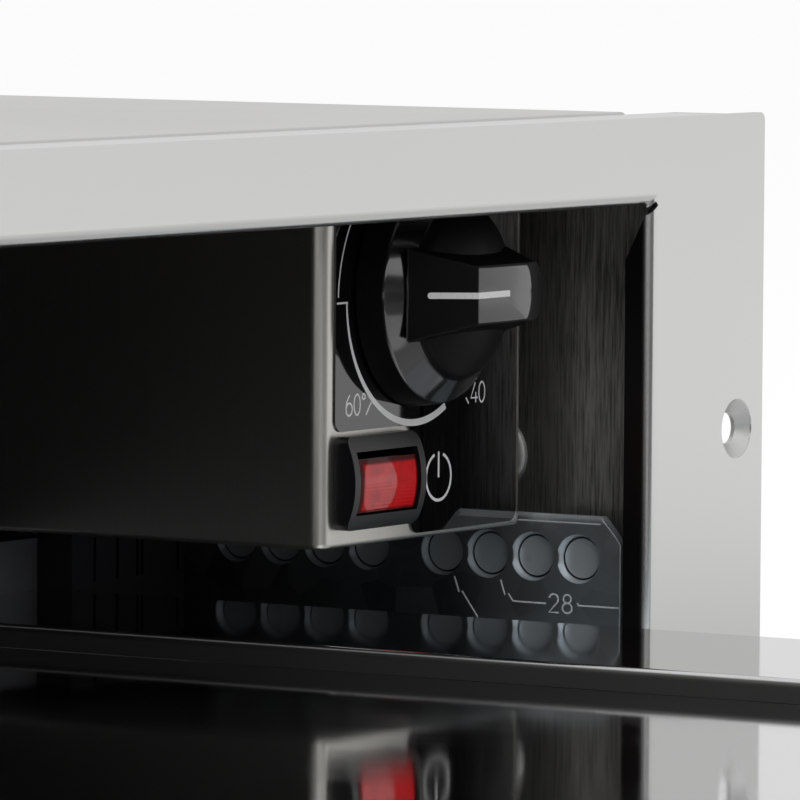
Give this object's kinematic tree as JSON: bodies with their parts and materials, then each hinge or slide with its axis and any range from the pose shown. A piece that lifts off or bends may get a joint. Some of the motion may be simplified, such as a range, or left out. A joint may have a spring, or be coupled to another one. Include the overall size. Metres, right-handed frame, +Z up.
{
  "type": "built-in warming drawer",
  "caption": "Flanged steel housing with a full-extension polished tray, fan heater at the rear, dial thermostat and lit rocker on a box inside the opening.",
  "frame": {"origin": "middle of the base's flat underside, at mid depth of the cabinet", "axes": "+Z up, front faces -Y, +X to the right of someone facing the front; the drawer slides out along -Y and is stored open"},
  "size_m": [0.595, 1.0275, 0.1375],
  "materials": {
    "steel_satin": "satin brushed stainless sheet",
    "steel_polished": "mirror-polished stainless sheet",
    "steel_zinc": "zinc-plated pressed steel",
    "wool": "compressed mineral wool",
    "black_gloss": "gloss black",
    "white_print": "white inlay",
    "black_satin": "satin black",
    "red_lens": "red translucent",
    "nylon": "natural nylon",
    "rubber_black": "matt black",
    "brass": "bright",
    "grey_plastic": "light grey",
    "cream_plastic": "cream",
    "element_steel": "dull sheath",
    "motor_steel": "dull grey"
  },
  "bodies": {
    "cabinet": {"base_pan": "steel_satin", "base_wool": "wool", "cable_inlet": "black_satin", "ceiling_panel": "steel_satin", "ceiling_wool": "wool", "control_box": "steel_satin", "control_film": "black_gloss", "element_clips": "steel_zinc", "fan_cover": "steel_satin", "fan_motor": "motor_steel", "fan_shield": "steel_zinc", "floor_liner": "steel_satin", "front_frame": "steel_satin", "heating_element": "element_steel", "rear_panel": "steel_satin", "side_panel_left": "steel_satin", "side_panel_right": "steel_satin", "slide_cabinet_left": "steel_zinc", "slide_cabinet_right": "steel_zinc", "slide_rail_left": "steel_zinc", "slide_rail_right": "steel_zinc", "slide_screws": "steel_zinc", "switch_housing": "black_satin", "switch_tabs": "brass", "terminal_block": "cream_plastic", "terminal_screws": "brass", "thermal_cutout": "cream_plastic", "thermostat_body": "cream_plastic", "thermostat_nut": "steel_zinc", "top_panel": "steel_satin"},
    "drawer": {"tray_deck": "steel_polished", "tray_pan": "steel_satin", "tray_board": "wool", "rear_rail": "grey_plastic", "rear_corner_left": "black_satin", "rear_corner_right": "black_satin", "front_fascia": "steel_satin", "front_inner": "steel_satin", "front_wool": "wool", "front_seal": "rubber_black", "handle_bar": "steel_satin", "handle_posts": "steel_satin", "bracket_screws": "steel_zinc", "slide_runner_left": "steel_zinc", "slide_runner_right": "steel_zinc", "runner_glides_left": "nylon", "runner_glides_right": "nylon", "front_bracket_left": "steel_zinc", "front_bracket_right": "steel_zinc"},
    "slide_middle_l": {"slide_middle_left": "steel_zinc", "middle_glides_left": "nylon"},
    "slide_middle_r": {"slide_middle_right": "steel_zinc", "middle_glides_right": "nylon"},
    "knob": {"thermostat_knob": "black_gloss", "knob_line": "white_print", "thermostat_shaft": "steel_zinc"},
    "rocker": {"rocker_lens": "red_lens", "rocker_carrier": "black_satin"},
    "fan": {"fan_impeller": "motor_steel"}
  },
  "joints": [
    {"name": "drawer_slide", "type": "slide", "parent": "cabinet", "child": "drawer", "axis": [0, -1, 0], "range_m": [-0.4, 0]},
    {"name": "left_middle_slide", "type": "slide", "parent": "cabinet", "child": "slide_middle_l", "axis": [0, -1, 0], "range_m": [-0.2, 0]},
    {"name": "right_middle_slide", "type": "slide", "parent": "cabinet", "child": "slide_middle_r", "axis": [0, -1, 0], "range_m": [-0.2, 0]},
    {"name": "thermostat_turn", "type": "hinge", "parent": "cabinet", "child": "knob", "pos_m": [0.2273, -0.2553, 0.1085], "axis": [0, 1, 0], "range_deg": [-270, 50]},
    {"name": "rocker_tip", "type": "hinge", "parent": "cabinet", "child": "rocker", "pos_m": [0.21405, -0.2442, 0.0785], "axis": [1, 0, 0], "range_deg": [-4, 0]},
    {"name": "fan_spin", "type": "hinge", "parent": "cabinet", "child": "fan", "pos_m": [0, 0.239, 0.0682], "axis": [0, 1, 0], "continuous": true}
  ],
  "couplings": [
    {"joint": "left_middle_slide", "follows": "drawer_slide", "ratio": 0.5},
    {"joint": "right_middle_slide", "follows": "drawer_slide", "ratio": 0.5}
  ]
}
